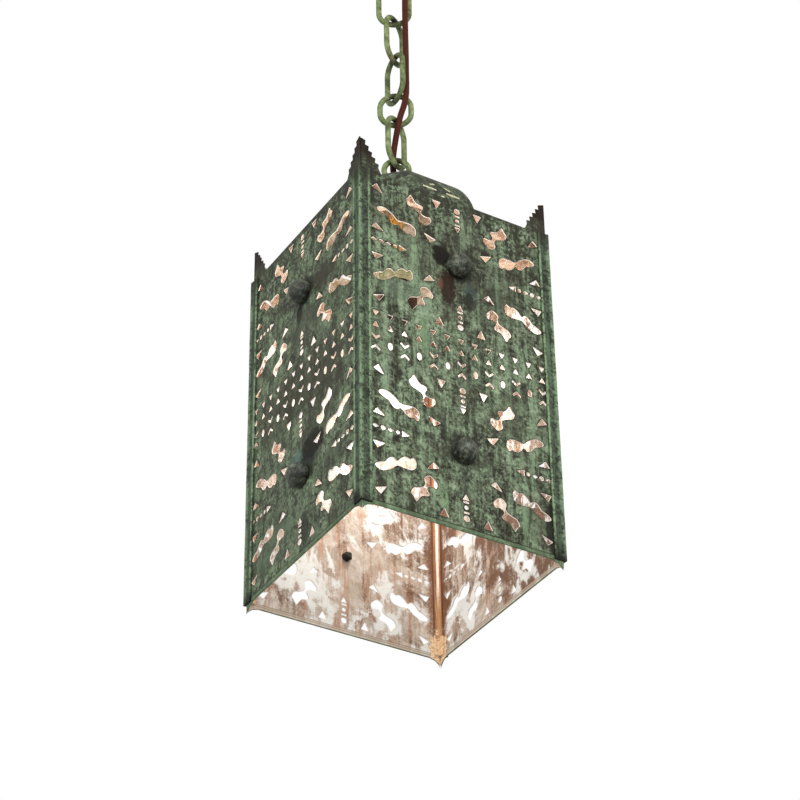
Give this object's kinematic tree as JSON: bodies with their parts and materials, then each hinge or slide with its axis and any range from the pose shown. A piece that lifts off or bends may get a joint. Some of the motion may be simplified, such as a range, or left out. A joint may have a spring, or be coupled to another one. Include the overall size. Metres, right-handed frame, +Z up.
{
  "type": "moroccan pendant lantern",
  "caption": "Square pierced-sheet pendant lantern with stepped corner spires, round knobs and an eight-sided domed roof, hung from a link chain under a round ceiling canopy.",
  "frame": {"origin": "middle of the ceiling plate's upper face, where it meets the ceiling", "axes": "+Z up out of the ceiling plate, the lantern hanging below on the Z axis; -Y is the lantern's front sheet, +X its right sheet"},
  "size_m": [0.25, 0.25, 0.844],
  "materials": {
    "verdigris": "aged copper sheet with green patina outside",
    "pale_verdigris": "sage-green patina",
    "dark_knob": "dark blue-green patina",
    "copper": "bright copper",
    "black_steel": "dark steel",
    "brass": "plain brass",
    "brown_plastic": "dark moulded shell",
    "porcelain": "glazed white",
    "frosted_glass": "frosted, lit from inside",
    "cord_jacket": "dark red-brown flex"
  },
  "bodies": {
    "ceiling_fitting": {"ceiling_plate": "black_steel", "plate_screw_left": "black_steel", "plate_screw_right": "black_steel", "canopy": "pale_verdigris", "canopy_nipple": "brass", "canopy_collar": "pale_verdigris", "canopy_loop": "pale_verdigris", "canopy_boot": "cord_jacket", "canopy_lead": "cord_jacket", "cord": "cord_jacket"},
    "link_1": {"chain_link_1": "pale_verdigris"},
    "link_2": {"chain_link_2": "pale_verdigris"},
    "link_3": {"chain_link_3": "pale_verdigris"},
    "link_4": {"chain_link_4": "pale_verdigris"},
    "link_5": {"chain_link_5": "pale_verdigris"},
    "lantern": {"panel_front": "verdigris", "panel_right": "verdigris", "panel_back": "verdigris", "panel_left": "verdigris", "corner_strip_front_left": "verdigris", "corner_strip_front_right": "verdigris", "corner_strip_back_right": "verdigris", "corner_strip_back_left": "verdigris", "inner_angle_front_left": "copper", "inner_angle_front_right": "copper", "inner_angle_back_right": "copper", "inner_angle_back_left": "copper", "knob_front_upper": "dark_knob", "knob_front_lower": "dark_knob", "knob_right_upper": "dark_knob", "knob_right_lower": "dark_knob", "knob_back_upper": "dark_knob", "knob_back_lower": "dark_knob", "knob_left_upper": "dark_knob", "knob_left_lower": "dark_knob", "roof_deck": "verdigris", "roof_dome": "verdigris", "roof_screw_1": "black_steel", "roof_screw_2": "black_steel", "roof_screw_3": "black_steel", "roof_screw_4": "black_steel", "roof_loop": "pale_verdigris", "loop_collar": "pale_verdigris", "crown_washer": "brass", "lock_nut": "brass", "pipe_coupling": "brass", "drop_pipe": "brass", "holder_cap": "pale_verdigris", "holder_shell": "brown_plastic", "holder_core": "porcelain", "screw_shell": "brass", "centre_contact": "brass", "lamp_cap": "brass", "lamp_mount": "porcelain", "lamp_glass": "frosted_glass", "roof_boot": "cord_jacket", "lamp_lead": "cord_jacket"}
  },
  "joints": [
    {"name": "swing_1", "type": "hinge", "parent": "ceiling_fitting", "child": "link_1", "pos_m": [0, 0, -0.07575], "axis": [0.0279, 0.9996, 0], "range_deg": [-30, 30], "deforming": ["cord"]},
    {"name": "swing_2", "type": "hinge", "parent": "link_1", "child": "link_2", "pos_m": [0, 0, -0.13025], "axis": [0.8517, -0.524, 0], "range_deg": [-30, 30], "deforming": ["cord"]},
    {"name": "swing_3", "type": "hinge", "parent": "link_2", "child": "link_3", "pos_m": [0, 0, -0.18475], "axis": [0.8796, 0.4756, 0], "range_deg": [-30, 30], "deforming": ["cord"]},
    {"name": "swing_4", "type": "hinge", "parent": "link_3", "child": "link_4", "pos_m": [0, 0, -0.23925], "axis": [0.0279, 0.9996, 0], "range_deg": [-30, 30], "deforming": ["cord"]},
    {"name": "swing_5", "type": "hinge", "parent": "link_4", "child": "link_5", "pos_m": [0, 0, -0.27375], "axis": [0.8517, -0.524, 0], "range_deg": [-30, 30], "deforming": ["cord"]},
    {"name": "swing_6", "type": "hinge", "parent": "link_5", "child": "lantern", "pos_m": [0, 0, -0.32825], "axis": [0.8796, 0.4756, 0], "range_deg": [-30, 30], "deforming": ["cord"]}
  ]
}
